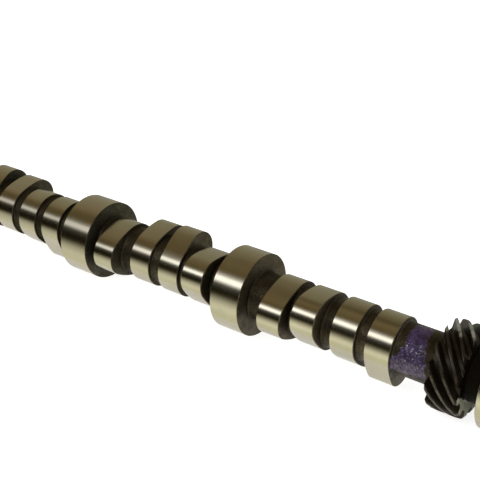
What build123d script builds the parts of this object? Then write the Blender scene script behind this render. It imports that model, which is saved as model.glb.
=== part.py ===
from build123d import *
import math
import os

# Camshaft for a 90 degree V6 engine, in millimetres: four bearing journals, twelve valve lobes and the
# helical gear that drives the distributor and oil pump, all one piece of steel, with a dowel pressed
# into the nose that locates the timing sprocket.
# The shaft lies along X on its own axis. X = 0 is the face that the sprocket bolts against, and +X runs
# towards the rear. Angles about the shaft are in degrees clockwise from +Z, seen from the rear.

# bearing journals, numbered from the front
JOURNAL_RADIUS = 23.72
JOURNAL_1_WIDTH = 20.3
JOURNAL_2_WIDTH = 20.3
JOURNAL_3_WIDTH = 18.55
JOURNAL_4_WIDTH = 20.3
JOURNAL_CHAMFER = 0.35

# clear lengths between one journal and the next
FRONT_BAY = 103.7
MIDDLE_BAY = 93.46
REAR_BAY = 136.29

# round core between journals, lobes and gear
CORE_RADIUS = 13.85
ROOT_FILLET = 1.2

# valve lobes: a base circle, two flank arcs and a nose arc
BASE_RADIUS = 16.0
NOSE_ARC_RADIUS = 11.8
FLANK_RADIUS = 48.8
EXHAUST_LIFT = 6.8
INTAKE_LIFT = 7.2
LOBE_WIDTH = 14.4
LOBE_CHAMFER = 0.4

# directions of the lobe noses: those of the front left cylinder, and the steps to the other cylinders
EXHAUST_ANGLE = 32.5
INTAKE_ANGLE = 151.5
BANK_STEP = 25.5
PAIR_STEP = -120.0

# distances from the journal in front of a lobe to the middle of the lobe, four in each bay
FRONT_BAY_LOBES = (25.4, 45.1, 65.55, 85.7)
MIDDLE_BAY_LOBES = (13.0, 35.65, 56.9, 78.6)
REAR_BAY_LOBES = (19.14, 39.24, 59.85, 80.05)

# valve and bank of the four lobes in each bay, front to rear
FRONT_BAY_VALVES = ("left exhaust", "right exhaust", "left intake", "right intake")
MIDDLE_BAY_VALVES = ("left exhaust", "right intake", "left intake", "right exhaust")
REAR_BAY_VALVES = ("left intake", "right intake", "left exhaust", "right exhaust")

# helical drive gear, right hand, in the rear bay
GEAR_OFFSET = 109.99
GEAR_LENGTH = 16.6
GEAR_TEETH = 13
GEAR_TIP_RADIUS = 23.4
GEAR_ROOT_RADIUS = 18.8
GEAR_LEAD = 91.0
TOOTH_TIP_ANGLE = 7.0
TOOTH_ROOT_ANGLE = 17.0
GEAR_PHASE = -37.0
GEAR_FRONT_CHAMFER = 0.5
GEAR_BEVEL_LENGTH = 0.9
GEAR_BEVEL_RADIUS = 21.8
TOOTH_STOCK = 1.0

# nose: the register and face that carry the timing sprocket
NOSE_RADIUS = 17.45
NOSE_LENGTH = 5.7
NOSE_CHAMFER = 0.8
SPROCKET_BOLTS = 3
SPROCKET_CIRCLE_RADIUS = 11.0
BOLT_HOLE_RADIUS = 3.3
BOLT_HOLE_DEPTH = 22.0
DRILL_POINT_ANGLE = 118.0

# dowel pressed into the nose, between two of the bolt holes and further out
DOWEL_RADIUS = 3.175
DOWEL_CIRCLE_RADIUS = 12.7
DOWEL_SEAT_DEPTH = 8.0
DOWEL_STAND_OUT = 6.0
DOWEL_CHAMFER = 0.6
DOWEL_ANGLE = 0.0

# centre drillings in both ends
CENTRE_MOUTH_RADIUS = 4.2
CENTRE_PILOT_RADIUS = 1.6
CENTRE_PILOT_DEPTH = 4.0
CENTRE_ANGLE = 60.0
END_CHAMFER = 1.5

# stations along the shaft
journal_widths = (JOURNAL_1_WIDTH, JOURNAL_2_WIDTH, JOURNAL_3_WIDTH, JOURNAL_4_WIDTH)
bay_lengths = (FRONT_BAY, MIDDLE_BAY, REAR_BAY)


def journal_spans():
    """Front and rear face of each journal."""
    spans = []
    front = NOSE_LENGTH
    for width, bay in zip(journal_widths, bay_lengths + (0.0,)):
        spans.append((front, front + width))
        front += width + bay
    return spans


JOURNALS = journal_spans()
GEAR_FRONT = JOURNALS[2][1] + GEAR_OFFSET
GEAR_REAR = GEAR_FRONT + GEAR_LENGTH
REAR_END = JOURNALS[3][1]


def around(radius, angle, x=0.0):
    """Point at a radius from the shaft's axis, clockwise from +Z as seen from the rear."""
    turn = math.radians(angle)
    return Vector(x, radius * math.sin(turn), radius * math.cos(turn))


def section_plane(x, angle=0.0):
    """Plane across the shaft whose local X points at the given angle."""
    return Plane(origin=(x, 0, 0), x_dir=around(1.0, angle), z_dir=(1, 0, 0))


def turned(points):
    """Solid of revolution about the shaft's axis, from (station, radius) points."""
    return revolve(make_face(Polyline(*points, close=True)), Axis.X)


# ------------------------------------------------------------------------------------------- lobes
def lobe_outline(lift):
    """Closed lobe outline, nose along local X: base circle, flank, nose, flank, all tangent."""
    nose_centre = BASE_RADIUS + lift - NOSE_ARC_RADIUS
    to_flank = FLANK_RADIUS - BASE_RADIUS
    nose_to_flank = FLANK_RADIUS - NOSE_ARC_RADIUS
    cosine = (to_flank**2 + nose_centre**2 - nose_to_flank**2) / (2 * to_flank * nose_centre)
    flank_angle = math.acos(cosine)
    flank_centre = Vector(to_flank * cosine, -to_flank * math.sin(flank_angle))
    nose_middle = Vector(nose_centre, 0)
    on_base = flank_centre * (-BASE_RADIUS / to_flank)
    on_nose = nose_middle + (nose_middle - flank_centre) * (NOSE_ARC_RADIUS / nose_to_flank)
    on_flank = flank_centre + (on_base + on_nose - flank_centre * 2).normalized() * FLANK_RADIUS

    def mirrored(point):
        return Vector(point.X, -point.Y)

    return Wire([
        ThreePointArc(on_base, (-BASE_RADIUS, 0), mirrored(on_base)),
        ThreePointArc(mirrored(on_base), mirrored(on_flank), mirrored(on_nose)),
        ThreePointArc(mirrored(on_nose), (BASE_RADIUS + lift, 0), on_nose),
        ThreePointArc(on_nose, on_flank, on_base),
    ])


def lobe(middle, angle, lift):
    """One lobe, with its edges broken."""
    plane = section_plane(middle - LOBE_WIDTH / 2, angle)
    blank = extrude(plane * make_face(lobe_outline(lift)), LOBE_WIDTH)
    rims = [edge for face in (blank.faces().sort_by(Axis.X)[0], blank.faces().sort_by(Axis.X)[-1])
            for edge in face.edges()]
    return chamfer(rims, LOBE_CHAMFER)


def lobe_table():
    """Middle station, nose angle and lift of every lobe, front to rear."""
    bays = (
        (FRONT_BAY_LOBES, FRONT_BAY_VALVES),
        (MIDDLE_BAY_LOBES, MIDDLE_BAY_VALVES),
        (REAR_BAY_LOBES, REAR_BAY_VALVES),
    )
    table = []
    for pair, (offsets, valves) in enumerate(bays):
        for offset, valve in zip(offsets, valves):
            exhaust = "exhaust" in valve
            angle = (EXHAUST_ANGLE if exhaust else INTAKE_ANGLE) + pair * PAIR_STEP
            if "right" in valve:
                angle += BANK_STEP
            table.append((JOURNALS[pair][1] + offset, angle, EXHAUST_LIFT if exhaust else INTAKE_LIFT))
    return table


# ------------------------------------------------------------------------------------ turned shaft
def journal(front, rear, front_chamfer, rear_chamfer):
    """One bearing journal."""
    return turned([
        (front, 0),
        (front, JOURNAL_RADIUS - front_chamfer),
        (front + front_chamfer, JOURNAL_RADIUS),
        (rear - rear_chamfer, JOURNAL_RADIUS),
        (rear, JOURNAL_RADIUS - rear_chamfer),
        (rear, 0),
    ])


def web(front, rear):
    """Core between two shoulders, with a fillet at the foot of each."""
    fillet = min(ROOT_FILLET, (rear - front) / 3, (BASE_RADIUS - CORE_RADIUS) * 0.8)
    outline = Wire([
        Line((front, 0), (front, CORE_RADIUS + fillet)),
        RadiusArc((front, CORE_RADIUS + fillet), (front + fillet, CORE_RADIUS), fillet),
        Line((front + fillet, CORE_RADIUS), (rear - fillet, CORE_RADIUS)),
        RadiusArc((rear - fillet, CORE_RADIUS), (rear, CORE_RADIUS + fillet), fillet),
        Line((rear, CORE_RADIUS + fillet), (rear, 0)),
        Line((rear, 0), (front, 0)),
    ])
    return revolve(make_face(outline), Axis.X)


def shoulders():
    """Every length of the shaft that stands out of the core, front to rear."""
    spans = list(JOURNALS)
    spans += [(middle - LOBE_WIDTH / 2, middle + LOBE_WIDTH / 2) for middle, _, _ in lobe_table()]
    spans.append((GEAR_FRONT, GEAR_REAR))
    return sorted(spans)


# -------------------------------------------------------------------------------------- drive gear
def gear_section():
    """Gear outline across the shaft at its front face, with stock on the tips for turning down."""
    pitch = 360.0 / GEAR_TEETH
    plane = section_plane(GEAR_FRONT)
    edges = []

    def local(radius, angle):
        turn = math.radians(angle)
        return Vector(radius * math.cos(turn), radius * math.sin(turn))

    for tooth in range(GEAR_TEETH):
        middle = tooth * pitch - GEAR_PHASE
        tip = TOOTH_TIP_ANGLE / 2
        root = TOOTH_ROOT_ANGLE / 2
        low = local(GEAR_ROOT_RADIUS, middle - root)
        left = local(GEAR_TIP_RADIUS, middle - tip)
        right = local(GEAR_TIP_RADIUS, middle + tip)
        high = local(GEAR_ROOT_RADIUS, middle + root)
        left += (left - low).normalized() * TOOTH_STOCK
        right += (right - high).normalized() * TOOTH_STOCK
        gap = local(GEAR_ROOT_RADIUS, middle + pitch / 2)
        following = local(GEAR_ROOT_RADIUS, middle + pitch - root)
        edges.append(Line(low, left))
        edges.append(Line(left, right))
        edges.append(Line(right, high))
        edges.append(ThreePointArc(high, gap, following))
    return plane * make_face(Wire(edges))


def drive_gear():
    """Right-hand helical teeth, cut back to the turned blank with its front chamfer and rear bevel."""
    twist = 360.0 * GEAR_LENGTH / GEAR_LEAD
    teeth = Solid.extrude_linear_with_rotation(
        gear_section().faces()[0], (GEAR_FRONT, 0, 0), (GEAR_LENGTH, 0, 0), twist
    )
    blank = turned([
        (GEAR_FRONT, 0),
        (GEAR_FRONT, GEAR_TIP_RADIUS - GEAR_FRONT_CHAMFER),
        (GEAR_FRONT + GEAR_FRONT_CHAMFER, GEAR_TIP_RADIUS),
        (GEAR_REAR - GEAR_BEVEL_LENGTH, GEAR_TIP_RADIUS),
        (GEAR_REAR, GEAR_BEVEL_RADIUS),
        (GEAR_REAR, 0),
    ])
    return teeth & blank


# ------------------------------------------------------------------------------- holes in the ends
def drilled_hole(radius, depth, angle):
    """Blind hole in the nose face, at an angle on the sprocket's bolt circle, with a drill point."""
    point = radius / math.tan(math.radians(DRILL_POINT_ANGLE / 2))
    profile = Polyline((0, 0), (0, radius), (depth, radius), (depth + point, 0), close=True)
    return Pos(around(SPROCKET_CIRCLE_RADIUS, angle)) * revolve(make_face(profile), Axis.X)


def centre_drilling(x, inwards):
    """Lathe centre in an end face. inwards is 1 at the front end and -1 at the rear."""
    slope = math.tan(math.radians(CENTRE_ANGLE / 2))
    cone = (CENTRE_MOUTH_RADIUS - CENTRE_PILOT_RADIUS) / slope
    return turned([
        (x, 0),
        (x, CENTRE_MOUTH_RADIUS),
        (x + inwards * cone, CENTRE_PILOT_RADIUS),
        (x + inwards * (cone + CENTRE_PILOT_DEPTH), CENTRE_PILOT_RADIUS),
        (x + inwards * (cone + CENTRE_PILOT_DEPTH + CENTRE_PILOT_RADIUS), 0),
    ])


def nose():
    """Register that the sprocket's bore fits over."""
    return turned([
        (0, 0),
        (0, NOSE_RADIUS - NOSE_CHAMFER),
        (NOSE_CHAMFER, NOSE_RADIUS),
        (NOSE_LENGTH, NOSE_RADIUS),
        (NOSE_LENGTH, 0),
    ])


# ------------------------------------------------------------------------------------------ pieces
def camshaft():
    """The whole shaft as one solid."""
    solids = [nose(), drive_gear()]
    for number, (front, rear) in enumerate(JOURNALS):
        last = number == len(JOURNALS) - 1
        solids.append(journal(front, rear, JOURNAL_CHAMFER, END_CHAMFER if last else JOURNAL_CHAMFER))
    for middle, angle, lift in lobe_table():
        solids.append(lobe(middle, angle, lift))
    spans = shoulders()
    for (_, front), (rear, _) in zip(spans, spans[1:]):
        solids.append(web(front, rear))
    shaft = solids[0].fuse(*solids[1:]).clean()
    for bolt in range(SPROCKET_BOLTS):
        angle = DOWEL_ANGLE + (bolt + 0.5) * 360.0 / SPROCKET_BOLTS
        shaft -= drilled_hole(BOLT_HOLE_RADIUS, BOLT_HOLE_DEPTH, angle)
    shaft -= dowel_seat()
    shaft -= centre_drilling(0, 1)
    shaft -= centre_drilling(REAR_END, -1)
    return shaft


def dowel_seat():
    """Flat-bottomed hole that the dowel is pressed into."""
    start = around(DOWEL_CIRCLE_RADIUS, DOWEL_ANGLE)
    return extrude(Plane(start, z_dir=(1, 0, 0)) * Circle(DOWEL_RADIUS), DOWEL_SEAT_DEPTH)


def sprocket_dowel():
    """Straight dowel pin, bottomed in its seat and standing out of the nose face."""
    start = around(DOWEL_CIRCLE_RADIUS, DOWEL_ANGLE, -DOWEL_STAND_OUT)
    pin = extrude(Plane(start, z_dir=(1, 0, 0)) * Circle(DOWEL_RADIUS), DOWEL_STAND_OUT + DOWEL_SEAT_DEPTH)
    return chamfer(pin.faces().sort_by(Axis.X)[0].edges(), DOWEL_CHAMFER)


os.makedirs("parts", exist_ok=True)
export_step(camshaft(), "parts/camshaft.step")
export_step(sprocket_dowel(), "parts/sprocket_dowel.step")
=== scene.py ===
import math

import bmesh
import bpy
import numpy as np
from mathutils import Matrix, Vector
from mathutils.geometry import delaunay_2d_cdt


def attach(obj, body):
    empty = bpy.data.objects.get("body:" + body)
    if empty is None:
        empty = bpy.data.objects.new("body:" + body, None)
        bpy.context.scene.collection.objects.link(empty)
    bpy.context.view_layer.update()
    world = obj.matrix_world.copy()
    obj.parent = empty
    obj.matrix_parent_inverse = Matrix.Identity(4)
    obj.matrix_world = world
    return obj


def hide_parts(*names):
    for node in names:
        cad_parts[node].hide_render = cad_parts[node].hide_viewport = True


# The dressed camshaft. Everything is in metres in the CAD's frame; sizes below are in millimetres, as in the
# part's source, and are turned into metres where the mesh is made. X runs along the shaft towards the rear.
# Angles about the shaft are in degrees clockwise from +Z, seen from the rear.
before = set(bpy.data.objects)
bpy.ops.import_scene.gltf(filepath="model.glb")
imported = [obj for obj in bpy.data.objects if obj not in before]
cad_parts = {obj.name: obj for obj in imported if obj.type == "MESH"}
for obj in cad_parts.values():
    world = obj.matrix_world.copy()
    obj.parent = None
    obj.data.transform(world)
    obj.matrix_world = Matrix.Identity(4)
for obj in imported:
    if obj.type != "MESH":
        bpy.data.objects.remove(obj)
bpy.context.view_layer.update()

MM = 0.001

# ---------------------------------------------------------------------------------------------- sizes
JOURNAL_RADIUS = 23.72
JOURNALS = ((5.7, 26.0), (129.7, 150.0), (243.46, 262.01), (398.3, 418.6))
JOURNAL_CHAMFER = 0.35
END_CHAMFER = 1.5
CORE_RADIUS = 13.85
ROOT_FILLET = 1.2

BASE_RADIUS = 16.0
NOSE_ARC_RADIUS = 11.8
FLANK_RADIUS = 48.8
EXHAUST_LIFT = 6.8
INTAKE_LIFT = 7.2
LOBE_WIDTH = 14.4
LOBE_CHAMFER = 0.4
EXHAUST_ANGLE = 32.5
INTAKE_ANGLE = 151.5
BANK_STEP = 25.5
PAIR_STEP = -120.0
LOBE_OFFSETS = ((25.4, 45.1, 65.55, 85.7), (13.0, 35.65, 56.9, 78.6), (19.14, 39.24, 59.85, 80.05))
# valve and bank of each lobe: exhaust or intake, left or right
LOBE_VALVES = (("EL", "ER", "IL", "IR"), ("EL", "IR", "IL", "ER"), ("IL", "IR", "EL", "ER"))

GEAR_FRONT = 372.0
GEAR_REAR = 388.6
GEAR_TEETH = 13
GEAR_TIP_RADIUS = 23.4
GEAR_ROOT_RADIUS = 18.8
GEAR_LEAD = 91.0
TOOTH_TIP_ANGLE = 7.0
TOOTH_ROOT_ANGLE = 17.0
GEAR_PHASE = -37.0
GEAR_FRONT_CHAMFER = 0.5
GEAR_BEVEL_LENGTH = 0.9
GEAR_BEVEL_RADIUS = 21.8
# rounding of a tooth's tip and root: turns from the flank in degrees, drops from the tip, rises from the root
TIP_FLAT_TURN = 1.0
TIP_EDGE_TURN = 0.25
TIP_EDGE_DROP = 0.06
TIP_FLANK_DROP = 0.35
TIP_ROUND_DROP = 0.38
ROOT_ROUND_RISE = 0.55
ROOT_EDGE_RISE = 0.16
ROOT_EDGE_TURN = 0.25
ROOT_FLAT_TURN = 1.3

NOSE_RADIUS = 17.45
NOSE_LENGTH = 5.7
NOSE_CHAMFER = 0.8
NOSE_ROOT = 0.3
SPROCKET_CIRCLE_RADIUS = 11.0
BOLT_ANGLES = (60.0, 180.0, 300.0)
BOLT_HOLE_RADIUS = 3.3
BOLT_HOLE_DEPTH = 22.0
HOLE_MOUTH = 0.6
DRILL_POINT_ANGLE = 118.0
THREAD_RADIUS = 3.9
THREAD_PITCH = 1.41
THREAD_LENGTH = 18.0
# shape of the thread: how steep its flanks are, how wide its flats, and how it runs out
THREAD_STEEPNESS = 1.25
THREAD_FLAT = 0.12
THREAD_RUNOUT = 1.5
THREAD_END_GAP = 0.3
DOWEL_RADIUS = 3.175
DOWEL_CIRCLE_RADIUS = 12.7
DOWEL_SEAT_DEPTH = 8.0
CENTRE_MOUTH_RADIUS = 4.2
CENTRE_PILOT_RADIUS = 1.6
CENTRE_PILOT_DEPTH = 4.0
CENTRE_ANGLE = 60.0

# mesh fineness: points around the shaft, 16 to a gear tooth, and points and steps of the smaller forms
TOOTH_POINTS = 16
AROUND = GEAR_TEETH * TOOTH_POINTS
FLANK_SAMPLES = 60
GEAR_RINGS = 18
BEVEL_RINGS = 6
HOLE_POINTS = 40
THREAD_STEPS = 8
FILLET_STEPS = (0.0, 22.5, 45.0, 67.5, 90.0)
CORE_STEP = 6.0
# extra rings: on the faces, and on the lands beside the chamfers, which keep the shading of both flat
FACE_RIM = 0.25
JOURNAL_FACE_BAND = 2.5
JOURNAL_MARGIN = 0.5
LOBE_FACE_SHARE = 0.4
LOBE_MARGIN = 0.4
END_FACE_RADIUS = 12.0
# the ring within a chamfer: its shares of the chamfer's width and depth
CHAMFER_SHARE = 0.4
JOURNAL_CHAMFER_SHARES = (0.45, 0.42)
SHARP_ANGLE = 30.0
# triangulation of the nose's face: points closer than this are one, and a face is in a hole within this share
FLAT_TOLERANCE = 1e-7
INSIDE_SHARE = 0.999

# material slots of the shaft's mesh
GROUND, OXIDE, GEAR, TURNED = range(4)


def place_object(name, data):
    """New object in the scene."""
    thing = bpy.data.objects.new(name, data)
    bpy.context.scene.collection.objects.link(thing)
    return thing


# ------------------------------------------------------------------------------------- mesh builder
class Skin:
    """Collects rings of points and the faces between them."""

    def __init__(self):
        self.points = []
        self.faces = []
        self.slots = []

    def circle(self, x, centre, turn, radii):
        """Adds a ring of points at station x about a centre. Returns their numbers."""
        start = len(self.points)
        ys, zs = centre[0] + radii * np.sin(turn), centre[1] + radii * np.cos(turn)
        self.points += [(x, y, z) for y, z in zip(ys, zs)]
        return list(range(start, start + len(turn)))

    def ring(self, x, angles, radii):
        """Adds a ring of points at station x about the shaft. Returns their numbers."""
        return self.circle(x, (0.0, 0.0), np.radians(angles), radii)

    def band(self, one, two, slot):
        """Quads between two rings."""
        count = len(one)
        for i in range(count):
            j = (i + 1) % count
            self.faces.append((one[i], one[j], two[j], two[i]))
            self.slots.append(slot)

    def cap(self, ring, x, y, z, slot):
        """Closes a ring with a fan to one point."""
        self.points.append((x, y, z))
        middle = len(self.points) - 1
        for i in range(len(ring)):
            self.faces.append((ring[i], ring[(i + 1) % len(ring)], middle))
            self.slots.append(slot)

    def build(self, name, materials):
        """Makes the mesh and its object."""
        mesh = bpy.data.meshes.new(name)
        mesh.from_pydata([(x * MM, y * MM, z * MM) for x, y, z in self.points], [], self.faces)
        for material in materials:
            mesh.materials.append(material)
        mesh.polygons.foreach_set("material_index", self.slots)
        work = bmesh.new()
        work.from_mesh(mesh)
        bmesh.ops.recalc_face_normals(work, faces=work.faces)
        work.to_mesh(mesh)
        work.free()
        mesh.shade_smooth()
        mesh.set_sharp_from_angle(angle=math.radians(SHARP_ANGLE))
        return place_object(name, mesh)


# ------------------------------------------------------------------------------------------ sections
def lobe_radius(local, lift, inset):
    """Lobe outline's distance from the axis at angles from the nose, drawn in by an inset all round."""
    nose_centre = BASE_RADIUS + lift - NOSE_ARC_RADIUS
    to_flank = FLANK_RADIUS - BASE_RADIUS
    nose_to_flank = FLANK_RADIUS - NOSE_ARC_RADIUS
    cosine = (to_flank**2 + nose_centre**2 - nose_to_flank**2) / (2 * to_flank * nose_centre)
    flank_turn = math.acos(cosine)
    flank_x, flank_y = to_flank * cosine, -to_flank * math.sin(flank_turn)
    base_tangent = 180 - math.degrees(flank_turn)
    nose_arc = NOSE_ARC_RADIUS - inset
    tangent_x = nose_centre + (nose_centre - flank_x) * nose_arc / nose_to_flank
    tangent_y = -flank_y * nose_arc / nose_to_flank
    nose_tangent = math.degrees(math.atan2(tangent_y, tangent_x))

    away = np.abs((np.asarray(local) + 180) % 360 - 180)
    turn = np.radians(away)
    along_flank = np.cos(turn) * flank_x + np.sin(turn) * flank_y
    flank = along_flank + np.sqrt(along_flank**2 - to_flank**2 + (FLANK_RADIUS - inset)**2)
    along_nose = np.cos(turn) * nose_centre
    nose = along_nose + np.sqrt(np.maximum(along_nose**2 - nose_centre**2 + nose_arc**2, 0))
    radius = np.where(away > base_tangent, BASE_RADIUS - inset, flank)
    return np.where(away < nose_tangent, nose, radius)


def tooth_section(top):
    """Angles from the middle of a tooth and radii of its points, for a tip at the radius top."""
    tip = math.radians(TOOTH_TIP_ANGLE / 2)
    root = math.radians(TOOTH_ROOT_ANGLE / 2)
    low = np.array((GEAR_ROOT_RADIUS * math.cos(root), GEAR_ROOT_RADIUS * math.sin(root)))
    high = np.array((GEAR_TIP_RADIUS * math.cos(tip), GEAR_TIP_RADIUS * math.sin(tip)))
    steps = low + np.linspace(0, 1, FLANK_SAMPLES)[:, None] * (high - low)
    flank_radii = np.hypot(steps[:, 0], steps[:, 1])
    flank_angles = np.degrees(np.arctan2(steps[:, 1], steps[:, 0]))

    def flank(radius):
        return float(np.interp(radius, flank_radii, flank_angles))

    bottom = GEAR_ROOT_RADIUS
    half = [
        (0.0, top),
        (flank(top) - TIP_FLAT_TURN, top),
        (flank(top) - TIP_EDGE_TURN, top - TIP_EDGE_DROP),
        (flank(top - TIP_FLANK_DROP), top - TIP_ROUND_DROP),
        (flank((top + bottom) / 2), (top + bottom) / 2),
        (flank(bottom + ROOT_ROUND_RISE), bottom + ROOT_ROUND_RISE),
        (flank(bottom) + ROOT_EDGE_TURN, bottom + ROOT_EDGE_RISE),
        (flank(bottom) + ROOT_FLAT_TURN, bottom),
    ]
    gap = (-180.0 / GEAR_TEETH, bottom)
    section = [gap] + [(-angle, radius) for angle, radius in half[:0:-1]] + half
    return np.array([angle for angle, _ in section]), np.array([radius for _, radius in section])


def gear_ring(skin, x, top):
    """Ring of the gear's outline at station x."""
    pitch = 360.0 / GEAR_TEETH
    angles, radii = tooth_section(top)
    turn = GEAR_PHASE - (x - GEAR_FRONT) * 360.0 / GEAR_LEAD
    around = np.concatenate([turn + tooth * pitch + angles for tooth in range(GEAR_TEETH)])
    return skin.ring(x, around, np.tile(radii, GEAR_TEETH))


def even_angles(x):
    """Even angles about the shaft whose first point meets the first point of the gear's nearer end."""
    turn = 0.0 if x < (GEAR_FRONT + GEAR_REAR) / 2 else GEAR_REAR - GEAR_FRONT
    start = GEAR_PHASE - turn * 360.0 / GEAR_LEAD - 180.0 / GEAR_TEETH
    return start + np.arange(AROUND) * 360.0 / AROUND


# -------------------------------------------------------------------------------------- the shaft
def lobe_table():
    """Middle station, nose angle and lift of every lobe."""
    table = []
    for pair, (offsets, valves) in enumerate(zip(LOBE_OFFSETS, LOBE_VALVES)):
        for offset, valve in zip(offsets, valves):
            exhaust = valve[0] == "E"
            angle = (EXHAUST_ANGLE if exhaust else INTAKE_ANGLE) + pair * PAIR_STEP
            angle += BANK_STEP if valve[1] == "R" else 0.0
            table.append((JOURNALS[pair][1] + offset, angle, EXHAUST_LIFT if exhaust else INTAKE_LIFT))
    return table


class Stack:
    """Adds rings one after another, each joined to the last one by a band."""

    def __init__(self, skin, first):
        self.skin = skin
        self.last = first

    def to(self, ring, slot):
        self.skin.band(self.last, ring, slot)
        self.last = ring

    def round(self, x, radius, slot):
        self.to(self.skin.ring(x, even_angles(x), radius), slot)

    def fillet(self, face_x, away, steps):
        """Quarter fillet between the core and a shoulder's face."""
        for step in steps:
            angle = math.radians(step)
            x = face_x + away * ROOT_FILLET * (1 - math.sin(angle))
            self.round(x, CORE_RADIUS + ROOT_FILLET * (1 - math.cos(angle)), OXIDE)

    def core(self, start, end):
        """Core between two shoulders, with its fillets."""
        self.round(start, CORE_RADIUS + ROOT_FILLET + FACE_RIM, OXIDE)
        self.fillet(start, 1, FILLET_STEPS[::-1])
        inner_start, inner_end = start + ROOT_FILLET, end - ROOT_FILLET
        pieces = max(1, int((inner_end - inner_start) / CORE_STEP))
        for i in range(1, pieces):
            self.round(inner_start + (inner_end - inner_start) * i / pieces, CORE_RADIUS, OXIDE)
        self.fillet(end, -1, FILLET_STEPS)
        self.round(end, CORE_RADIUS + ROOT_FILLET + FACE_RIM, OXIDE)

    def journal(self, front, rear, rear_chamfer):
        radius, c = JOURNAL_RADIUS, JOURNAL_CHAMFER
        along, down = JOURNAL_CHAMFER_SHARES
        middle = (front + rear) / 2
        self.round(front, radius - c - JOURNAL_FACE_BAND, OXIDE)
        self.round(front, radius - c, OXIDE)
        self.round(front + c * along, radius - c * down, OXIDE)
        self.round(front + c, radius, GROUND)
        self.round(front + c + JOURNAL_MARGIN, radius, GROUND)
        self.round(middle, radius, GROUND)
        self.round(rear - rear_chamfer - JOURNAL_MARGIN, radius, GROUND)
        self.round(rear - rear_chamfer, radius, GROUND)
        self.round(rear - rear_chamfer * along, radius - rear_chamfer * down, OXIDE)
        self.round(rear, radius - rear_chamfer, OXIDE)
        self.round(rear, radius - rear_chamfer - JOURNAL_FACE_BAND, OXIDE)

    def lobe(self, middle, angle, lift):
        front, rear = middle - LOBE_WIDTH / 2, middle + LOBE_WIDTH / 2
        angles = even_angles(middle)

        def outline(x, inset, slot, inwards=0.0):
            radii = lobe_radius(angles - angle, lift, inset)
            radii = radii + (CORE_RADIUS + ROOT_FILLET - radii) * inwards
            self.to(self.skin.ring(x, angles, radii), slot)

        c = LOBE_CHAMFER
        outline(front, c, OXIDE, LOBE_FACE_SHARE)
        outline(front, c, OXIDE)
        outline(front + c * CHAMFER_SHARE, c * CHAMFER_SHARE, OXIDE)
        outline(front + c, 0.0, GROUND)
        outline(front + c + LOBE_MARGIN, 0.0, GROUND)
        outline(middle, 0.0, GROUND)
        outline(rear - c - LOBE_MARGIN, 0.0, GROUND)
        outline(rear - c, 0.0, GROUND)
        outline(rear - c * CHAMFER_SHARE, c * CHAMFER_SHARE, OXIDE)
        outline(rear, c, OXIDE)
        outline(rear, c, OXIDE, LOBE_FACE_SHARE)

    def gear(self):
        tip, c = GEAR_TIP_RADIUS, GEAR_FRONT_CHAMFER
        bevel = GEAR_REAR - GEAR_BEVEL_LENGTH
        self.to(gear_ring(self.skin, GEAR_FRONT, tip - c), OXIDE)
        self.to(gear_ring(self.skin, GEAR_FRONT + c / 2, tip - c * CHAMFER_SHARE), GEAR)
        self.to(gear_ring(self.skin, GEAR_FRONT + c, tip), GEAR)
        for x in np.linspace(GEAR_FRONT + c, bevel, GEAR_RINGS)[1:]:
            self.to(gear_ring(self.skin, float(x), tip), GEAR)
        for x in np.linspace(bevel, GEAR_REAR, BEVEL_RINGS)[1:]:
            share = (float(x) - bevel) / GEAR_BEVEL_LENGTH
            self.to(gear_ring(self.skin, float(x), tip + (GEAR_BEVEL_RADIUS - tip) * share), GEAR)


def on_circle(radius, angle):
    """Y and Z of a point at an angle on a circle about the shaft."""
    return radius * math.sin(math.radians(angle)), radius * math.cos(math.radians(angle))


def tapped_hole(skin, rim, centre):
    """Threaded blind hole in the nose face, from the rim of its mouth inwards."""
    spread = np.arange(HOLE_POINTS) / HOLE_POINTS
    turn = spread * 2 * math.pi
    bore = Stack(skin, rim)
    depth = HOLE_MOUTH
    while depth < THREAD_LENGTH:
        phase = (depth / THREAD_PITCH + spread) % 1.0
        ridge = np.clip(np.abs(phase * 2 - 1) * THREAD_STEEPNESS - THREAD_FLAT, 0, 1)
        runout = min(1.0, (THREAD_LENGTH - depth) / THREAD_RUNOUT)
        radii = THREAD_RADIUS - (THREAD_RADIUS - BOLT_HOLE_RADIUS) * (1 - (1 - ridge) * runout)
        bore.to(skin.circle(depth, centre, turn, radii), TURNED)
        depth += THREAD_PITCH / THREAD_STEPS
    for x in (THREAD_LENGTH + THREAD_END_GAP, BOLT_HOLE_DEPTH):
        bore.to(skin.circle(x, centre, turn, BOLT_HOLE_RADIUS), TURNED)
    point = BOLT_HOLE_RADIUS / math.tan(math.radians(DRILL_POINT_ANGLE / 2))
    skin.cap(bore.last, BOLT_HOLE_DEPTH + point, *centre, TURNED)


def lathe_centre(skin, rim, x, inwards, angles):
    """Centre drilling: a cone, a pilot hole and its point."""
    cone = (CENTRE_MOUTH_RADIUS - CENTRE_PILOT_RADIUS) / math.tan(math.radians(CENTRE_ANGLE / 2))
    bore = Stack(skin, rim)
    for depth, radius in (
        (cone * 0.5, (CENTRE_MOUTH_RADIUS + CENTRE_PILOT_RADIUS) / 2),
        (cone, CENTRE_PILOT_RADIUS),
        (cone + CENTRE_PILOT_DEPTH, CENTRE_PILOT_RADIUS),
    ):
        bore.to(skin.ring(x + inwards * depth, angles, radius), TURNED)
    skin.cap(bore.last, x + inwards * (cone + CENTRE_PILOT_DEPTH + CENTRE_PILOT_RADIUS), 0.0, 0.0, TURNED)


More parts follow.
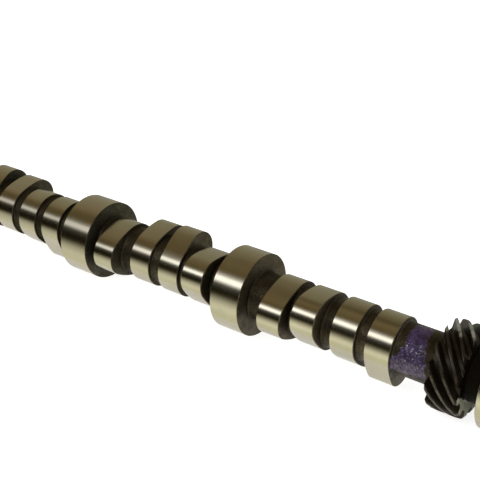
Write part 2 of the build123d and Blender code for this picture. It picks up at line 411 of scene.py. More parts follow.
def nose_face(skin, outer):
    """Flat face between the nose's rim, the three tapped holes, the dowel's seat and the lathe centre."""
    turn = np.arange(HOLE_POINTS) / HOLE_POINTS * 2 * math.pi
    mouth = BOLT_HOLE_RADIUS + HOLE_MOUTH
    openings = [(on_circle(SPROCKET_CIRCLE_RADIUS, angle), mouth) for angle in BOLT_ANGLES]
    seat = on_circle(DOWEL_CIRCLE_RADIUS, 0.0)
    openings += [(seat, DOWEL_RADIUS), ((0.0, 0.0), CENTRE_MOUTH_RADIUS)]
    rims = [skin.circle(0.0, centre, turn, radius) for centre, radius in openings]

    loops = [outer, *rims]
    numbers = [n for loop in loops for n in loop]
    flat = [Vector(skin.points[n][1:]) for n in numbers]
    edges = []
    start = 0
    for loop in loops:
        edges += [(start + i, start + (i + 1) % len(loop)) for i in range(len(loop))]
        start += len(loop)
    corners, _, faces, origins, _, _ = delaunay_2d_cdt(flat, edges, [], 0, FLAT_TOLERANCE)
    for face in faces:
        middle = sum((corners[i] for i in face), Vector((0, 0))) / len(face)
        if any(math.hypot(middle.x - y, middle.y - z) < radius * INSIDE_SHARE for (y, z), radius in openings):
            continue
        skin.faces.append(tuple(numbers[origins[i][0]] for i in face))
        skin.slots.append(TURNED)

    *bolt_rims, seat_rim, centre_rim = rims
    for rim, (centre, _) in zip(bolt_rims, openings):
        tapped_hole(skin, rim, centre)
    seat_floor = skin.circle(DOWEL_SEAT_DEPTH, seat, turn, DOWEL_RADIUS)
    skin.band(seat_rim, seat_floor, TURNED)
    skin.cap(seat_floor, DOWEL_SEAT_DEPTH, *seat, TURNED)
    lathe_centre(skin, centre_rim, 0.0, 1, np.degrees(turn))


def make_shaft(materials):
    """The whole shaft as one closed mesh."""
    skin = Skin()
    rim = skin.ring(0.0, even_angles(0.0), NOSE_RADIUS - NOSE_CHAMFER)
    nose_face(skin, rim)
    stack = Stack(skin, rim)
    stack.round(NOSE_CHAMFER * CHAMFER_SHARE, NOSE_RADIUS - NOSE_CHAMFER * CHAMFER_SHARE, TURNED)
    stack.round(NOSE_CHAMFER, NOSE_RADIUS, TURNED)
    stack.round(NOSE_LENGTH - NOSE_ROOT, NOSE_RADIUS, TURNED)
    stack.round(NOSE_LENGTH, NOSE_RADIUS + NOSE_ROOT, TURNED)

    shoulders = [(middle - LOBE_WIDTH / 2, middle + LOBE_WIDTH / 2, ("lobe", middle, angle, lift))
                 for middle, angle, lift in lobe_table()]
    shoulders += [(front, rear, ("journal",)) for front, rear in JOURNALS]
    shoulders.append((GEAR_FRONT, GEAR_REAR, ("gear",)))
    shoulders.sort()
    for number, (front, rear, what) in enumerate(shoulders):
        if number:
            stack.core(shoulders[number - 1][1], front)
        if what[0] == "lobe":
            stack.lobe(*what[1:])
        elif what[0] == "gear":
            stack.gear()
        else:
            stack.journal(front, rear, END_CHAMFER if rear == JOURNALS[-1][1] else JOURNAL_CHAMFER)
    end = JOURNALS[-1][1]
    stack.round(end, END_FACE_RADIUS, TURNED)
    stack.round(end, CENTRE_MOUTH_RADIUS, TURNED)
    lathe_centre(skin, stack.last, end, -1, even_angles(end))
    return skin.build("camshaft_steel", materials)


# ------------------------------------------------------------------------------------------ nodes
# inputs and output of a mix node, by the kind of value
MIX_SOCKETS = {"FLOAT": (2, 3, 0), "VECTOR": (4, 5, 1), "RGBA": (6, 7, 2)}


class Nodes:
    """Short way to lay out a node tree."""

    def __init__(self, tree):
        self.tree = tree

    def add(self, kind, **values):
        node = self.tree.nodes.new(kind)
        for key, value in values.items():
            setattr(node, key, value)
        return node

    def feed(self, socket, value):
        """Links a socket to another node's output, or gives it a fixed value."""
        if isinstance(value, bpy.types.NodeSocket):
            self.tree.links.new(value, socket)
        elif socket.type == "RGBA":
            socket.default_value = (*value, 1)
        else:
            socket.default_value = value

    def join(self, kind, values, **settings):
        """A node whose first inputs are given in order. Returns its first output."""
        node = self.add(kind, **settings)
        for socket, value in zip(node.inputs, values):
            self.feed(socket, value)
        return node.outputs[0]

    def math(self, operation, *values, clamp=False):
        return self.join("ShaderNodeMath", values, operation=operation, use_clamp=clamp)

    def plus(self, one, two):
        return self.math("ADD", one, two)

    def minus(self, one, two, clamp=False):
        return self.math("SUBTRACT", one, two, clamp=clamp)

    def times(self, one, two, clamp=False):
        return self.math("MULTIPLY", one, two, clamp=clamp)

    def rise(self, value, start, slope):
        """0 up to the start, from there up to 1 at the slope."""
        return self.times(self.minus(value, start), slope, clamp=True)

    def fall(self, value, end, slope):
        """Down from 1 to 0 at the slope, and 0 from the end on."""
        return self.times(self.minus(end, value), slope, clamp=True)

    def share(self, value, low, high):
        """Where a value lies between two others, held within 0 and 1."""
        node = self.add("ShaderNodeMapRange")
        for name, number in (("Value", value), ("From Min", low), ("From Max", high)):
            self.feed(node.inputs[name], number)
        return node.outputs[0]

    def blend(self, kind, factor, one, two):
        """One value at factor 0 and the other at factor 1."""
        node = self.add("ShaderNodeMix", data_type=kind)
        first, second, result = MIX_SOCKETS[kind]
        for number, value in ((0, factor), (first, one), (second, two)):
            self.feed(node.inputs[number], value)
        return node.outputs[result]

    def mix(self, factor, one, two):
        return self.blend("RGBA", factor, one, two)

    def mix_value(self, factor, one, two):
        return self.blend("FLOAT", factor, one, two)

    def ramp(self, value, stops, interpolation="LINEAR"):
        """Value mapped through colour or grey stops."""
        node = self.add("ShaderNodeValToRGB")
        node.color_ramp.interpolation = interpolation
        self.feed(node.inputs[0], value)
        elements = node.color_ramp.elements
        while len(elements) < len(stops):
            elements.new(0.5)
        for element, (position, colour) in zip(elements, stops):
            element.position = position
            element.color = (*(colour if isinstance(colour, tuple) else (colour,) * 3), 1)
        return node.outputs["Color"]

    def coordinates(self):
        """Places on the object, in metres."""
        return self.add("ShaderNodeTexCoord").outputs["Object"]

    def axes(self):
        """X, Y and Z of places on the object."""
        split = self.add("ShaderNodeSeparateXYZ")
        self.feed(split.inputs[0], self.coordinates())
        return split.outputs["X"], split.outputs["Y"], split.outputs["Z"]

    def any_ray(self, *kinds):
        """1 for light rays of any of the kinds."""
        path = self.add("ShaderNodeLightPath")
        found = path.outputs[kinds[0]]
        for kind in kinds[1:]:
            found = self.math("MAXIMUM", found, path.outputs[kind])
        return found


class Surface(Nodes):
    """Nodes of a surface material."""

    def __init__(self, name):
        self.material = bpy.data.materials.new(name)
        self.material.use_nodes = True
        super().__init__(self.material.node_tree)
        self.shader = self.tree.nodes["Principled BSDF"]

    def place(self, along, across=None):
        """Places on the object, scaled along the shaft and, if another number is given, apart across it."""
        across = along if across is None else across
        mapping = self.add("ShaderNodeMapping", vector_type="POINT")
        self.feed(mapping.inputs["Vector"], self.coordinates())
        self.feed(mapping.inputs["Scale"], (along, across, across))
        return mapping.outputs[0]

    def from_axis(self, y, z):
        """Distance from the shaft's axis."""
        return self.math("SQRT", self.plus(self.times(y, y), self.times(z, z)))

    def noise(self, vector, detail, roughness):
        node = self.add("ShaderNodeTexNoise")
        for name, value in (("Vector", vector), ("Scale", 1.0), ("Detail", detail), ("Roughness", roughness)):
            self.feed(node.inputs[name], value)
        return node.outputs["Fac"]

    def rings(self, x, radius, scale, roughness):
        """Noise that is even around the shaft, as turning marks are."""
        vector = self.join("ShaderNodeCombineXYZ", (self.times(x, scale), self.times(radius, scale), 0.0))
        return self.noise(vector, 2.0, roughness)

    def bump(self, height, strength, distance):
        node = self.add("ShaderNodeBump")
        for name, value in (("Strength", strength), ("Distance", distance), ("Height", height)):
            self.feed(node.inputs[name], value)
        return node.outputs[0]

    def shade(self, **values):
        """Feeds the surface shader's inputs, named with _ for a space."""
        for name, value in values.items():
            self.feed(self.shader.inputs[name.replace("_", " ")], value)


# ------------------------------------------------------------------------------------------ materials
STEEL = (0.60, 0.565, 0.43)
STAINED_STEEL = (0.60, 0.525, 0.40)


def ground_material():
    """Ground lobes and journals: bright steel with fine grinding lines around the shaft."""
    g = Surface("ground_steel")
    fine = g.noise(g.place(6000, 40), 2.0, 0.6)
    chatter = g.noise(g.place(1300, 330), 2.0, 0.55)
    cloud = g.noise(g.place(90, 60), 3.0, 0.55)
    lines = g.plus(g.times(fine, 0.45), g.times(chatter, 0.55))
    dull, bright = tuple(c * 0.90 for c in STEEL), tuple(c * 1.08 for c in STEEL)
    tone = g.ramp(g.plus(g.times(lines, 0.5), g.times(cloud, 0.5)), [(0.3, dull), (0.7, bright)])
    stain = g.ramp(g.noise(g.place(45), 3.0, 0.6), [(0.46, 0.0), (0.62, 0.6)])
    g.shade(
        Base_Color=g.mix(stain, tone, STAINED_STEEL),
        Metallic=1.0,
        Roughness=g.ramp(lines, [(0.3, 0.10), (0.7, 0.19)]),
        Anisotropic=0.6,
        Anisotropic_Rotation=0.25,
        Tangent=g.add("ShaderNodeTangent", direction_type="RADIAL", axis="X").outputs[0],
        Normal=g.bump(lines, 0.25, 0.00006),
    )
    return g.material


def turned_material():
    """Bare turned ends of the shaft."""
    g = Surface("turned_steel")
    x, y, z = g.axes()
    rings = g.rings(x, g.from_axis(y, z), 4000, 0.5)
    cloud = g.noise(g.place(150), 3.0, 0.6)
    g.shade(
        Base_Color=g.ramp(cloud, [(0.3, (0.33, 0.31, 0.25)), (0.7, (0.44, 0.42, 0.34))]),
        Metallic=1.0,
        Roughness=g.ramp(rings, [(0.3, 0.28), (0.7, 0.42)]),
        Normal=g.bump(rings, 0.35, 0.00006),
    )
    return g.material


# Tones of the dark core and of the dark side faces, by mottling.
CORE_TONES = ((0.36, (0.034, 0.026, 0.013)), (0.50, (0.066, 0.052, 0.030)), (0.64, (0.115, 0.097, 0.062)))
FACE_TONES = ((0.36, (0.070, 0.055, 0.031)), (0.50, (0.112, 0.092, 0.056)), (0.64, (0.185, 0.162, 0.110)))
ROOT_SHADE_TONE = (0.028, 0.022, 0.012)
NECK_TONE = (0.030, 0.022, 0.009)
# painted shade: near black for the gear's rear face above its painted reflection and for the neck up to the
# rear journal
BEHIND_SHADE_TONE = (0.009, 0.007, 0.0035)

# Share of the side faces' colour left on the front half, as painted shade that also cools it, where that half
# ends, and how it fades.
FRONT_SHADE_SHARE = (0.66, 0.74, 0.80)
FRONT_SHADE_END = 0.240
FRONT_SHADE_FADE = 0.090

# Painted shade in the root fillets, in millimetres above the core; the neck gets darker from NECK_DARK on, in
# metres.
ROOT_SHADE_START = 0.02
ROOT_SHADE_END = 1.7
NECK_DARK = 0.3655

# Painted reflection of the floor, low on the gear's rear face: the line above it, as its height at Y = 0 and
# its slope along Y, the station where the patch begins, how far it reaches past the gear's end, and the
# station where the near black painted shade around it ends; all but the slope in metres.
PATCH_TOP = -0.0157
PATCH_FALL = -0.665
PATCH_FRONT = 0.3874
PATCH_DEPTH = 0.0004
BEHIND_SHADE_END = 0.4

# Paint mark on the neck by the gear: its front and rear edges, in metres, at angles in degrees about the
# shaft, and the angles where it ends below and above.
PAINT_FRONT = ((-110, 0.3485), (-84, 0.3485), (-66, 0.3528), (-30, 0.3535), (30, 0.3545))
PAINT_REAR = ((-110, 0.3690), (-90, 0.3690), (-62, 0.3670), (-40, 0.3652), (30, 0.3642))
PAINT_BELOW = -115.0
PAINT_ABOVE = 28.0
# where the paint thins below and turns lilac, partly as painted reflection of the floor, in degrees, and, in
# radians, where it turns paler towards the top, where it is smooth, and where its specks gather as painted
# glints
PAINT_THIN_AND_LIT = -84.0
PAINT_TOP_FADE = -0.05
PAINT_SMOOTH = -0.85
PAINT_GLINTS = -1.0
PURPLES = ((0.33, (0.018, 0.007, 0.036)), (0.5, (0.035, 0.014, 0.074)), (0.68, (0.064, 0.034, 0.122)))
LIT_LILAC = (0.185, 0.145, 0.19)
TOP_FADE_TONE = (0.072, 0.052, 0.068)
FLECK_AND_GLINT_TONE = (0.20, 0.17, 0.23)


def oxide_tone(g, x, radius, mottle):
    """Colour of the dark core, side faces, their roots and the neck by the gear, with painted shade on the
    front half's side faces and in the root fillets.
    """
    shaded_front_tones = [(place, tuple(a * b for a, b in zip(tone, FRONT_SHADE_SHARE))) for place, tone in FACE_TONES]
    # painted shade: side faces darker and cooler on the front half
    front_shade = g.fall(x, FRONT_SHADE_END, 1 / FRONT_SHADE_FADE)
    face_tone = g.mix(front_shade, g.ramp(mottle, FACE_TONES), g.ramp(mottle, shaded_front_tones))
    on_face = g.rise(radius, CORE_RADIUS * MM, 330)
    tone = g.mix(on_face, g.ramp(mottle, CORE_TONES), face_tone)
    # painted shade in the root fillets between the core and the side faces
    root_shade_start = g.rise(radius, (CORE_RADIUS + ROOT_SHADE_START) * MM, 6000)
    root_shade_end = g.fall(radius, (CORE_RADIUS + ROOT_SHADE_END) * MM, 1600)
    tone = g.mix(g.times(g.times(root_shade_start, root_shade_end), 0.65), tone, ROOT_SHADE_TONE)
    return g.mix(g.times(g.rise(x, NECK_DARK, 800), 0.6), tone, NECK_TONE)


def floor_reflection_patch(g, x, y, z, ragged):
    """1 on the painted floor reflection low on the gear's rear face."""
    under_line = g.minus(g.plus(g.times(y, PATCH_FALL), PATCH_TOP), z)
    under_line = g.plus(g.times(under_line, 900), g.times(g.minus(ragged, 0.5), 2.0))
    before_end = g.math("LESS_THAN", x, GEAR_REAR * MM + PATCH_DEPTH)
    at_gear = g.times(g.math("GREATER_THAN", x, PATCH_FRONT), before_end)
    return g.times(under_line, at_gear, clamp=True)


def paint_edge(g, turn, stops):
    """Station along a line given by angle and station."""
    low, high = stops[0][0], stops[-1][0]
    base = min(station for _, station in stops)
    depth = max(station for _, station in stops) - base
    share = g.share(turn, math.radians(low), math.radians(high))
    greys = [((angle - low) / (high - low), (station - base) / depth) for angle, station in stops]
    return g.plus(g.times(g.ramp(share, greys), depth), base)


def paint_cover(g, x, turn, ragged):
    """1 where the paint mark is, with a ragged border."""
    front = g.times(g.minus(x, paint_edge(g, turn, PAINT_FRONT)), 500)
    rear = g.times(g.minus(paint_edge(g, turn, PAINT_REAR), x), 500)
    below = g.times(g.minus(turn, math.radians(PAINT_BELOW)), 7)
    above = g.times(g.minus(math.radians(PAINT_ABOVE), turn), 7)
    inside = g.math("MINIMUM", g.math("MINIMUM", front, rear), g.math("MINIMUM", below, above))
    return g.times(g.plus(inside, g.times(g.minus(ragged, 0.5), 4.0)), 1.6, clamp=True)


def paint_tone(g, turn, dabs, beads, thin_and_lit):
    """Purple, thinly painted and lilac below with painted reflection of the floor, paler towards the top,
    with light specks that gather as painted glints where the highlight falls.
    """
    # thinly painted blotches low down, turned lilac there as painted reflection of the floor
    thinned_and_lit = g.times(thin_and_lit, g.ramp(dabs, [(0.40, 0.0), (0.62, 1.0)]))
    tone = g.mix(thinned_and_lit, g.ramp(dabs, PURPLES), LIT_LILAC)
    # paler and greyer towards the top
    tone = g.mix(g.times(g.rise(turn, PAINT_TOP_FADE, 2.2), 0.8), tone, TOP_FADE_TONE)
    # painted glints: light specks gather in the band where the highlight falls
    off_glints = g.math("ABSOLUTE", g.minus(turn, PAINT_GLINTS))
    glint_zone = g.minus(1.0, g.times(off_glints, 3.0), clamp=True)
    flecks_and_glints = g.rise(beads, g.mix_value(glint_zone, 0.64, 0.54), 12.0)
    flecks_and_glints = g.times(flecks_and_glints, g.mix_value(g.rise(turn, PAINT_SMOOTH, 3.0), 1.0, 0.15))
    return g.mix(flecks_and_glints, tone, FLECK_AND_GLINT_TONE)


def oxide_material():
    """Dark phosphated core and side faces, with turning marks and the purple paint mark; painted shade in the
    root fillets, on the front half's side faces, on the gear's rear face and on the neck up to the rear
    journal, and a painted floor reflection low on the gear's rear face.
    """
    g = Surface("dark_oxide")
    x, y, z = g.axes()
    radius = g.from_axis(y, z)
    turn = g.math("ARCTAN2", y, z)
    rings = g.rings(x, radius, 1500, 0.55)
    cloud = g.noise(g.place(110), 4.0, 0.65)
    grain = g.noise(g.place(900), 3.0, 0.7)
    ragged = g.noise(g.place(260), 3.0, 0.6)
    dabs = g.noise(g.place(300), 4.0, 0.65)
    wrinkle = g.noise(g.place(480), 2.0, 0.6)
    beads = g.noise(g.place(1000), 2.0, 0.6)
    mottle = g.plus(g.times(cloud, 0.55), g.times(grain, 0.45))

    # painted shade: from the gear's rear face to the rear journal the colour turns near black, with no metal
    # and little specular
    behind_shade = g.times(g.rise(x, PATCH_FRONT, 4000), g.math("LESS_THAN", x, BEHIND_SHADE_END))
    tone = g.mix(behind_shade, oxide_tone(g, x, radius, mottle), BEHIND_SHADE_TONE)
    # painted reflection of the floor: light grey-green, low on the gear's rear face
    reflection_tone = g.ramp(grain, [(0.35, (0.60, 0.60, 0.44)), (0.65, (0.80, 0.81, 0.62))])
    tone = g.mix(floor_reflection_patch(g, x, y, z, ragged), tone, reflection_tone)

    paint = paint_cover(g, x, turn, ragged)
    # low down: thinly painted, with painted reflection of the floor
    thin_and_lit = g.fall(turn, math.radians(PAINT_THIN_AND_LIT), 2.0)
    gloss = g.ramp(beads, [(0.50, 0.0), (0.64, 1.0)])
    gloss = g.times(gloss, g.minus(1.0, g.times(thin_and_lit, 0.65)))
    height = g.plus(g.times(rings, 0.5), g.times(grain, 0.5))
    blobs = g.times(g.plus(g.times(dabs, 0.6), wrinkle), 1.4)
    normal = g.bump(g.mix_value(paint, height, blobs), 0.7, 0.0005)
    g.shade(
        Base_Color=g.mix(paint, tone, paint_tone(g, turn, dabs, beads, thin_and_lit)),
        Metallic=g.times(g.minus(1.0, g.math("MAXIMUM", paint, behind_shade)), 0.85),
        Roughness=g.mix_value(paint, g.ramp(mottle, [(0.36, 0.50), (0.64, 0.36)]), 0.45),
        Specular_IOR_Level=g.mix_value(behind_shade, 0.5, 0.04),
        Coat_Weight=g.times(paint, gloss),
        Coat_Roughness=0.08,
        Coat_IOR=2.1,
        Coat_Normal=normal,
        Normal=normal,
    )
    return g.material


# The gear: the crests' wear colour, lighter low down as painted reflection of the floor, and their depth, the
# angle in radians below which crests carry the most of that colour, and the height above the axis from which
# the teeth carry a painted reflection; depth and height in metres.
WORN_AND_LIT_TONE = (0.105, 0.090, 0.068)
WORN_DEPTH = 0.0005
CREST_LIT_BELOW = -0.95
TOP_SHEEN_HEIGHT = 0.0222


def gear_material():
    """Hobbed teeth under oil: near black in the gaps, with wear along the crests, lighter crests low down and
    light tops as painted reflection.
    """
    g = Surface("oiled_gear")
    _, y, z = g.axes()
    cloud = g.noise(g.place(160), 3.0, 0.6)
    scratch = g.noise(g.place(900, 300), 3.0, 0.6)
    blotch = g.noise(g.place(330), 3.0, 0.65)
    oiled = g.ramp(cloud, [(0.3, (0.022, 0.014, 0.0075)), (0.7, (0.050, 0.036, 0.022))])
    top_sheen_tone = g.ramp(cloud, [(0.3, (0.17, 0.172, 0.135)), (0.7, (0.30, 0.30, 0.235))])
    crest = g.rise(g.from_axis(y, z), GEAR_TIP_RADIUS * MM - WORN_DEPTH, 2500)
    # painted reflection of the floor: crests are lighter below this angle
    below = g.fall(g.math("ARCTAN2", y, z), CREST_LIT_BELOW, 2.0)
    worn_and_lit = g.times(crest, g.ramp(blotch, [(0.42, 0.1), (0.58, 1.0)]))
    worn_and_lit = g.times(worn_and_lit, g.mix_value(below, 0.35, 1.0))
    # painted reflection: light, matt tops of the teeth above a fixed height
    top_sheen = g.plus(g.minus(z, TOP_SHEEN_HEIGHT), g.times(g.minus(blotch, 0.5), 0.002))
    top_sheen = g.times(top_sheen, 1300, clamp=True)
    under_top_sheen = g.minus(1.0, top_sheen)
    rough = g.mix_value(worn_and_lit, g.ramp(scratch, [(0.3, 0.28), (0.7, 0.42)]), 0.32)
    g.shade(
        Base_Color=g.mix(top_sheen, g.mix(worn_and_lit, oiled, WORN_AND_LIT_TONE), top_sheen_tone),
        Metallic=g.times(under_top_sheen, 0.75),
        Roughness=g.mix_value(top_sheen, rough, 0.55),
        Coat_Weight=g.times(under_top_sheen, 0.25),
        Coat_Roughness=0.12,
        Normal=g.bump(scratch, 0.4, 0.0002),
    )
    return g.material


def dowel_material():
    """Ground dowel pin."""
    g = Surface("dowel_steel")
    lines = g.noise(g.place(6000, 60), 3.0, 0.6)
    g.shade(
        Base_Color=g.ramp(lines, [(0.3, (0.50, 0.49, 0.46)), (0.7, (0.60, 0.59, 0.56))]),
        Metallic=1.0,
        Roughness=g.ramp(lines, [(0.3, 0.2), (0.7, 0.32)]),
        Normal=g.bump(lines, 0.2, 0.00002),
    )
    return g.material


shaft = make_shaft([ground_material(), oxide_material(), gear_material(), turned_material()])
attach(shaft, "root")
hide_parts("camshaft")

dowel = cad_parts["sprocket_dowel"]
dowel.data.materials.clear()
dowel.data.materials.append(dowel_material())

# ------------------------------------------------------------------------------------------ studio
WORLD_COLOUR = (1.0, 0.99, 0.96)
WORLD_LEVEL = 0.62
FLOOR_HEIGHT = -JOURNAL_RADIUS * MM
FLOOR_HALF = 30.0
FLOOR_COLOUR = (0.80, 0.80, 0.79)
# the floor's own light, as the camera and as the metal see it
FLOOR_LIFT = 0.80
FLOOR_LIFT_IN_METAL = 0.38


def glowing(name):
    """A material that gives light. Returns it, its nodes, its emission shader and its output."""
    material = bpy.data.materials.new(name)
    material.use_nodes = True
    n = Nodes(material.node_tree)
    n.tree.nodes.clear()
    return material, n, n.add("ShaderNodeEmission"), n.add("ShaderNodeOutputMaterial")


def make_floor():
    """White floor under the shaft, lifted to the ground's white for the camera."""
    mesh = bpy.data.meshes.new("floor")
    corners = ((-1, -1), (1, -1), (1, 1), (-1, 1))
    mesh.from_pydata([(x * FLOOR_HALF, y * FLOOR_HALF, FLOOR_HEIGHT) for x, y in corners], [], [(0, 1, 2, 3)])
    floor = place_object("floor", mesh)
    material, n, emission, output = glowing("white_floor")
    in_metal = n.times(n.any_ray("Is Glossy Ray", "Is Transmission Ray"), FLOOR_LIFT_IN_METAL)
    lift = n.math("MULTIPLY_ADD", n.any_ray("Is Camera Ray"), FLOOR_LIFT, in_metal)
    n.feed(emission.inputs["Color"], (1, 1, 1))
    n.feed(emission.inputs["Strength"], lift)
    diffuse = n.add("ShaderNodeBsdfDiffuse")
    n.feed(diffuse.inputs["Color"], FLOOR_COLOUR)
    both = n.join("ShaderNodeAddShader", (diffuse.outputs[0], emission.outputs[0]))
    n.feed(output.inputs["Surface"], both)
    mesh.materials.append(material)


def make_world():
    """Even light from all sides, white for the camera and in the metal."""
    world = bpy.data.worlds.new("studio")
    bpy.context.scene.world = world
    world.use_nodes = True
    n = Nodes(world.node_tree)
    background = n.tree.nodes["Background"]
    seen = n.any_ray("Is Camera Ray", "Is Glossy Ray", "Is Transmission Ray")
    n.feed(background.inputs["Color"], WORLD_COLOUR)
    n.feed(background.inputs["Strength"], n.mix_value(seen, WORLD_LEVEL, 1.0))


# Angles across the shaft, from straight up towards the camera's side (negative), and the level and colour
# that the tent's inside has there at its front and at its rear. The metal shows them as bands along itself.
TENT_BANDS = (
    (-132, (0.78, 0.79, 0.62), (0.78, 0.79, 0.62)),
    (-122, (0.76, 0.76, 0.60), (0.80, 0.80, 0.64)),
    (-112, (0.68, 0.68, 0.57), (1.00, 0.99, 0.84)),
    (-107, (0.60, 0.60, 0.50), (0.88, 0.87, 0.73)),
    (-102, (0.54, 0.54, 0.45), (0.64, 0.63, 0.52)),
    (-94, (0.26, 0.25, 0.195), (0.28, 0.27, 0.215)),
    (-86, (0.050, 0.043, 0.025), (0.060, 0.052, 0.033)),
    (-80, (0.016, 0.013, 0.006), (0.020, 0.016, 0.009)),
    (-68, (0.012, 0.010, 0.005), (0.016, 0.013, 0.007)),
    (-58, (0.035, 0.028, 0.019), (0.050, 0.042, 0.030)),
    (-24, (0.120, 0.092, 0.044), (0.150, 0.112, 0.055)),
    (-6, (0.135, 0.104, 0.056), (0.200, 0.155, 0.084)),
    (12, (0.240, 0.195, 0.120), (0.105, 0.083, 0.043)),
    (31, (0.265, 0.235, 0.165), (0.180, 0.155, 0.095)),
    (50, (0.285, 0.260, 0.180), (0.245, 0.220, 0.150)),
    (88, (0.325, 0.315, 0.255), (0.325, 0.315, 0.255)),
    (104, (0.250, 0.245, 0.210), (0.250, 0.245, 0.210)),
    (112, (0.560, 0.540, 0.440), (0.560, 0.540, 0.440)),
    (132, (0.640, 0.620, 0.500), (0.640, 0.620, 0.500)),
)
# stations between which the front colours turn into the rear ones
TENT_BLEND = (0.04, 0.28)
# lean of the bands, in radians per metre, and the station where they don't lean
TWIST = 0.5
TWIST_MIDDLE = 0.30

# Bright strip on the tent: its level at angles, its colour, and its share of the level along the shaft.
STRIP_BANDS = (
    (-80, 0.0), (-72, 0.015), (-64, 0.05), (-59, 0.42), (-55, 1.0),
    (-47, 1.0), (-42, 0.38), (-35, 0.07), (-28, 0.0),
)
STRIP_COLOUR = (0.90, 0.92, 1.0)
STRIP_LEVEL = 1.95
STRIP_ALONG = ((-0.25, 0.36), (-0.01, 0.38), (0.17, 1.0), (0.305, 1.0), (0.345, 0.35), (0.44, 0.30))

# The tent's form: it reaches TENT_SWEEP degrees to each side of the top, and its far side, beyond
# TENT_OPENING of the radius, ends sooner at the rear. Its hems lie TENT_CLEARANCE above the floor.
TENT_RADIUS = 0.15
TENT_SPAN = (-0.25, 0.44)
TENT_FAR_END = 0.37
TENT_OPENING = 0.94
TENT_SWEEP = 132.0
TENT_STEPS = 96
TENT_CLEARANCE = 0.0004


def tent_profile():
    """Half circle over the shaft, with both hems turned in along the floor."""
    points = []
    lowest = FLOOR_HEIGHT + TENT_CLEARANCE
    for i in range(TENT_STEPS + 1):
        turn = math.radians(TENT_SWEEP * (2 * i / TENT_STEPS - 1))
        reach = TENT_RADIUS
        if math.cos(turn) < 0:
            reach = min(reach, lowest / math.cos(turn))
        points.append((reach * math.sin(turn), reach * math.cos(turn)))
    return points


def ramp_between(n, value, span, stops, interpolation="LINEAR"):
    """Colour ramp with its stops at values within a span."""
    stops = [((place - span[0]) / (span[1] - span[0]), colour) for place, colour in stops]
    return n.ramp(n.share(value, *span), stops, interpolation)


def angle_ramp(n, angle, stops):
    """Colour along the tent's sweep, from stops in degrees."""
    sweep = math.radians(TENT_SWEEP)
    return ramp_between(n, angle, (-sweep, sweep), [(math.radians(turn), colour) for turn, colour in stops])


def make_tent():
    """Cloth tent over the shaft, open at both ends and seen only in the metal, with a bright strip."""
    profile = tent_profile()
    count = len(profile)
    ends = [TENT_SPAN[1] if y < TENT_RADIUS * TENT_OPENING else TENT_FAR_END for y, _ in profile]
    points = [(TENT_SPAN[0], y, z) for y, z in profile] + [(x, y, z) for x, (y, z) in zip(ends, profile)]
    mesh = bpy.data.meshes.new("tent")
    mesh.from_pydata(points, [], [(i, i + 1, count + i + 1, count + i) for i in range(count - 1)])
    tent = place_object("tent", mesh)

    material, n, emission, output = glowing("tent_cloth")
    x, y, z = n.axes()
    angle = n.math("ARCTAN2", y, z)
    leaning = n.plus(angle, n.math("MULTIPLY_ADD", x, -TWIST, TWIST * TWIST_MIDDLE))
    front = angle_ramp(n, leaning, [(turn, colour) for turn, colour, _ in TENT_BANDS])
    rear = angle_ramp(n, leaning, [(turn, colour) for turn, _, colour in TENT_BANDS])
    cloth = n.blend("VECTOR", n.share(x, *TENT_BLEND), front, rear)
    bright = [(turn, tuple(level * c for c in STRIP_COLOUR)) for turn, level in STRIP_BANDS]
    levels = [(place, STRIP_LEVEL * share) for place, share in STRIP_ALONG]
    across_and_along = (angle_ramp(n, angle, bright), ramp_between(n, x, TENT_SPAN, levels, "EASE"))
    strip = n.join("ShaderNodeVectorMath", across_and_along, operation="MULTIPLY")
    n.feed(emission.inputs["Color"], n.join("ShaderNodeVectorMath", (strip, cloth)))
    n.feed(emission.inputs["Strength"], 1.0)
    n.feed(output.inputs["Surface"], emission.outputs[0])
    mesh.materials.append(material)
    tent.visible_camera = False
    tent.visible_diffuse = False
    tent.visible_shadow = False


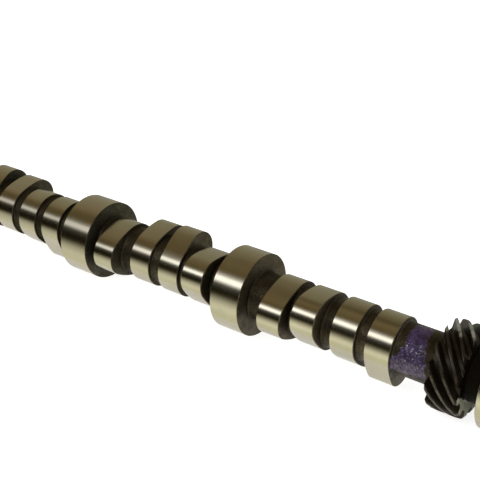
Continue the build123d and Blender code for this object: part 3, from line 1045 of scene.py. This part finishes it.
def facing(place, across, up, backward):
    """Matrix of a lamp or camera at a place, from the directions of its own axes."""
    return Matrix.Translation(place) @ Matrix((across, up, backward)).transposed().to_4x4()


# Soft box over the near side: angle from the top in degrees, distance, station, size in metres, and level.
BOX_ANGLE = -44.0
BOX_DISTANCE = 1.5
BOX_X = -0.35
BOX_WIDTH = 0.36
BOX_LENGTH = 2.0
BOX_LEVEL = 2.0
BOX_COLOUR = (1.0, 0.99, 0.97)


def make_soft_box():
    """Rectangular lamp whose long side lies along the shaft. The metal doesn't show it."""
    lamp = bpy.data.lights.new("soft_box", "AREA")
    lamp.shape = "RECTANGLE"
    lamp.size = BOX_LENGTH
    lamp.size_y = BOX_WIDTH
    lamp.energy = BOX_LEVEL * math.pi * BOX_WIDTH * BOX_LENGTH
    lamp.color = BOX_COLOUR
    holder = place_object("soft_box", lamp)
    holder.visible_glossy = False
    turn = math.radians(BOX_ANGLE)
    place = (BOX_X, BOX_DISTANCE * math.sin(turn), BOX_DISTANCE * math.cos(turn))
    away = (Vector(place) - Vector((BOX_X, 0, 0))).normalized()
    along = (Vector((1, 0, 0)) - away * away.x).normalized()
    holder.matrix_world = facing(place, along, away.cross(along), away)


make_floor()
make_world()
make_tent()
make_soft_box()

# ------------------------------------------------------------------------------------------ camera
# place in metres, directions of the picture's right and top, lens and sensor in millimetres
CAMERA_PLACE = (0.52875, -0.3845, 0.2747)
CAMERA_ACROSS = (0.8063, 0.5915, 0.0)
CAMERA_UP = (-0.2704, 0.3686, 0.8894)
CAMERA_LENS = 73.7
CAMERA_SENSOR = 36.0
CAMERA_NEAR = 0.01
CAMERA_FAR = 100.0

camera = bpy.data.cameras.new("camera")
camera.lens = CAMERA_LENS
camera.sensor_width = CAMERA_SENSOR
camera.clip_start = CAMERA_NEAR
camera.clip_end = CAMERA_FAR
camera_object = place_object("camera", camera)
across = Vector(CAMERA_ACROSS).normalized()
backward = across.cross(Vector(CAMERA_UP)).normalized()
camera_object.matrix_world = facing(CAMERA_PLACE, across, backward.cross(across), backward)
bpy.context.scene.camera = camera_object
bpy.context.scene.view_settings.view_transform = "Standard"
